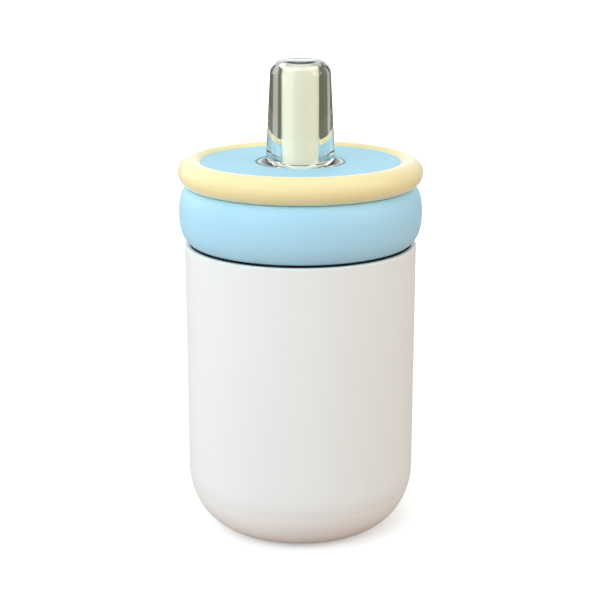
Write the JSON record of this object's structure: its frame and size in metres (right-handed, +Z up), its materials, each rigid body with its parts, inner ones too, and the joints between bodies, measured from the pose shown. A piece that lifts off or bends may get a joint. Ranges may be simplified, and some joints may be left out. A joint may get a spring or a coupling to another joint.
{
  "type": "sippy cup",
  "caption": "Child's insulated straw cup with a rounded base, a bulging screw lid with a rounded trim ring, a soft upright mouthpiece and a clear cap over it.",
  "frame": {"origin": "on the cup's axis, at the plane that it stands on", "axes": "+Z up along the cup's axis towards the clear cap; -Y faces the viewer; +X to the viewer's right"},
  "size_m": [0.0786, 0.0786, 0.1537],
  "materials": {
    "shell_paint": "fine satin powder coat",
    "steel": "turned and brushed stainless steel",
    "getter_metal": "dull",
    "gasket_black": "matte silicone",
    "base_plastic": "satin moulded",
    "foot_silicone": "matte silicone",
    "collar_blue": "satin moulded",
    "core_plastic": "moulded",
    "foam": "cut foam",
    "deck_blue": "satin moulded",
    "trim_yellow": "satin moulded",
    "seal_silicone": "translucent silicone",
    "mouthpiece_silicone": "milky silicone",
    "straw_plastic": "translucent tube",
    "clear_plastic": "clear, polished, thick-walled"
  },
  "bodies": {
    "cup": {"outer_shell": "shell_paint", "inner_liner": "steel", "shell_bottom": "steel", "getter": "getter_metal", "threaded_neck": "steel", "neck_gasket": "gasket_black", "base_cap": "base_plastic", "foot_pad": "foot_silicone"},
    "straw": {"straw_tube": "straw_plastic"},
    "seal": {"lid_seal": "seal_silicone"},
    "lid": {"lid_collar": "collar_blue", "lid_core": "core_plastic", "lid_insulation": "foam", "lid_deck": "deck_blue", "trim_ring": "trim_yellow", "mouthpiece": "mouthpiece_silicone", "mouthpiece_retainer": "core_plastic", "vent_valve": "seal_silicone"},
    "cap": {"clear_cap": "clear_plastic"}
  },
  "joints": [
    {"name": "lid_lift", "type": "slide", "parent": "cup", "child": "straw", "axis": [0, 0, 1], "range_m": [0, 0.115]},
    {"name": "lid_rise", "type": "slide", "parent": "straw", "child": "seal", "axis": [0, 0, 1], "range_m": [0, 0.00626]},
    {"name": "lid_turn", "type": "hinge", "parent": "seal", "child": "lid", "pos_m": [0, 0, 0.105], "axis": [0, 0, 1], "range_deg": [0, 450]},
    {"name": "cap_lift", "type": "slide", "parent": "lid", "child": "cap", "axis": [0, 0, 1], "range_m": [0, 0.036]}
  ],
  "couplings": [
    {"joint": "lid_rise", "follows": "lid_turn", "m_per_rad": 0.00079577}
  ]
}
